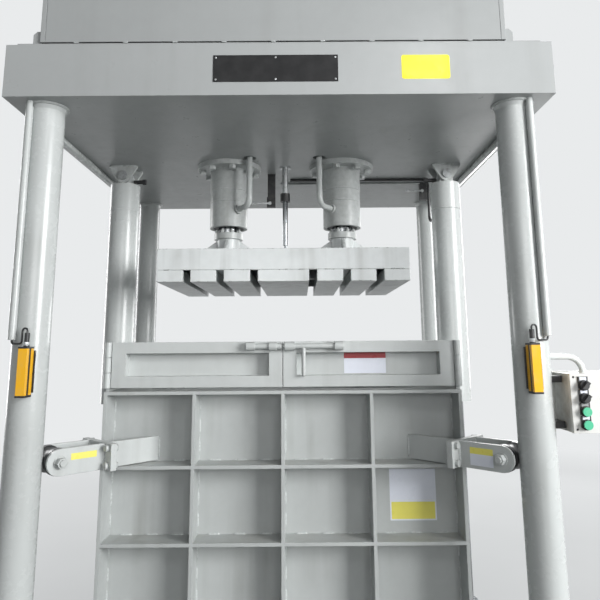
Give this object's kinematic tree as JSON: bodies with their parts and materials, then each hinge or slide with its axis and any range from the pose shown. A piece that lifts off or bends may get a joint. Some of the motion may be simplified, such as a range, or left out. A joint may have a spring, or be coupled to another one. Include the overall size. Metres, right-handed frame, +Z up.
{
  "type": "recycling baler",
  "caption": "Vertical baling press with a lifting ribbed bale chamber on corner rollers, twin press cylinders and a slotted platen under a pump housing.",
  "frame": {"origin": "on the floor, in the middle of the floor plate's underside", "axes": "+X to the right as seen from the doors' side, +Y away from that side, +Z up"},
  "size_m": [2.018, 1.5865, 3.374],
  "materials": {
    "paint": "satin light grey",
    "housing_paint": "satin light grey sheet",
    "inner_paint": "satin grey",
    "rod_chrome": "polished",
    "zinc": "zinc plated",
    "black_steel": "matte black",
    "black_plastic": "matte black",
    "black_rubber": "matte",
    "roller_nylon": "worn nylon",
    "yellow_paint": "satin yellow",
    "box_alu": "cast",
    "panel_white": "satin white",
    "conduit_white": "light grey",
    "button_green": "light green"
  },
  "bodies": {
    "frame": {"floor_plate": "paint", "base_frame": "paint", "bed_blocks": "paint", "column_front_left": "paint", "column_front_right": "paint", "rear_columns": "paint", "top_beam": "paint", "housing_front": "housing_paint", "housing_panels": "housing_paint", "housing_roof": "housing_paint", "barrel_left": "paint", "barrel_right": "paint", "cylinder_glands": "black_steel", "flange_bolts": "paint", "feed_pipes": "paint", "rod_sleeve": "zinc", "black_fittings": "black_plastic", "lift_brackets": "paint", "lift_pins": "zinc", "lift_barrels": "paint", "oil_tank": "inner_paint", "pump_set": "inner_paint", "conduits": "paint", "curtain_bars": "yellow_paint", "curtain_fittings": "black_plastic", "curtain_leads": "black_rubber", "control_box": "box_alu", "control_panel": "panel_white", "device_brackets": "black_steel", "switch_holders": "black_plastic", "box_conduit": "conduit_white", "limit_switches": "black_plastic", "switch_wiring": "black_rubber"},
    "press": {"platen": "paint", "platen_blocks": "paint", "ram_left": "rod_chrome", "ram_right": "rod_chrome", "rod_clamps": "paint", "guide_rod": "rod_chrome"},
    "chamber": {"chamber_front": "paint", "chamber_rear": "paint", "chamber_sides": "paint", "hopper_walls": "paint", "guide_arms": "paint", "roller_forks": "paint", "fork_bolts": "paint", "lift_rods": "rod_chrome"},
    "door_left": {"door_left": "paint"},
    "door_right": {"door_right": "paint"},
    "latch_bolt": {"latch_bolt": "paint"},
    "roller_front_left": {"roller_front_left": "roller_nylon"},
    "roller_front_right": {"roller_front_right": "roller_nylon"},
    "roller_rear_left": {"roller_rear_left": "roller_nylon"},
    "roller_rear_right": {"roller_rear_right": "roller_nylon"},
    "selector_upper": {"selector_upper": "black_plastic"},
    "selector_lower": {"selector_lower": "black_plastic"},
    "button_upper": {"button_upper": "button_green"},
    "button_lower": {"button_lower": "button_green"},
    "lever_centre": {"lever_centre": "zinc"},
    "lever_right": {"lever_right": "zinc"}
  },
  "joints": [
    {"name": "press_slide", "type": "slide", "parent": "frame", "child": "press", "axis": [0, 0, -1], "range_m": [0, 1]},
    {"name": "chamber_lift", "type": "slide", "parent": "frame", "child": "chamber", "axis": [0, 0, 1], "range_m": [0, 0.72]},
    {"name": "door_left_hinge", "type": "hinge", "parent": "chamber", "child": "door_left", "pos_m": [-0.6305, -0.447, 1.385], "axis": [0, 0, -1], "range_deg": [0, 100]},
    {"name": "door_right_hinge", "type": "hinge", "parent": "chamber", "child": "door_right", "pos_m": [0.6305, -0.447, 1.385], "axis": [0, 0, 1], "range_deg": [0, 100]},
    {"name": "latch_slide", "type": "slide", "parent": "door_right", "child": "latch_bolt", "axis": [-1, 0, 0], "range_m": [0, 0.024]},
    {"name": "roller_front_left_spin", "type": "hinge", "parent": "chamber", "child": "roller_front_left", "pos_m": [-0.73544, -0.62544, 1.095], "axis": [0.7071, -0.7071, 0], "range_deg": [0, 1220]},
    {"name": "roller_front_right_spin", "type": "hinge", "parent": "chamber", "child": "roller_front_right", "pos_m": [0.73544, -0.62544, 1.095], "axis": [0.7071, 0.7071, 0], "range_deg": [0, 1220]},
    {"name": "roller_rear_left_spin", "type": "hinge", "parent": "chamber", "child": "roller_rear_left", "pos_m": [-0.73544, 0.62544, 1.095], "axis": [-0.7071, -0.7071, 0], "range_deg": [0, 1220]},
    {"name": "roller_rear_right_spin", "type": "hinge", "parent": "chamber", "child": "roller_rear_right", "pos_m": [0.73544, 0.62544, 1.095], "axis": [-0.7071, 0.7071, 0], "range_deg": [0, 1220]},
    {"name": "selector_upper_turn", "type": "hinge", "parent": "frame", "child": "selector_upper", "pos_m": [0.922, -0.772, 1.326], "axis": [0, 1, 0], "range_deg": [0, 90]},
    {"name": "selector_lower_turn", "type": "hinge", "parent": "frame", "child": "selector_lower", "pos_m": [0.922, -0.772, 1.2875], "axis": [0, 1, 0], "range_deg": [0, 90]},
    {"name": "button_upper_press", "type": "slide", "parent": "frame", "child": "button_upper", "axis": [0, 1, 0], "range_m": [0, 0.005], "stiffness_N_per_m": 1500, "springref_m": -0.001},
    {"name": "button_lower_press", "type": "slide", "parent": "frame", "child": "button_lower", "axis": [0, 1, 0], "range_m": [0, 0.005], "stiffness_N_per_m": 1500, "springref_m": -0.001},
    {"name": "lever_centre_swing", "type": "hinge", "parent": "frame", "child": "lever_centre", "pos_m": [-0.076, 0.101, 2.119], "axis": [0, 1, 0], "range_deg": [0, 35], "stiffness_Nm_per_rad": 0.6, "springref_deg": -11.46},
    {"name": "lever_right_swing", "type": "hinge", "parent": "frame", "child": "lever_right", "pos_m": [0.683, 0.25, 2.216], "axis": [0, 1, 0], "range_deg": [0, 27], "stiffness_Nm_per_rad": 0.6, "springref_deg": -11.46}
  ],
  "couplings": [
    {"joint": "roller_front_left_spin", "follows": "chamber_lift", "rad_per_m": 29.412},
    {"joint": "roller_front_right_spin", "follows": "chamber_lift", "rad_per_m": 29.412},
    {"joint": "roller_rear_left_spin", "follows": "chamber_lift", "rad_per_m": 29.412},
    {"joint": "roller_rear_right_spin", "follows": "chamber_lift", "rad_per_m": 29.412}
  ]
}
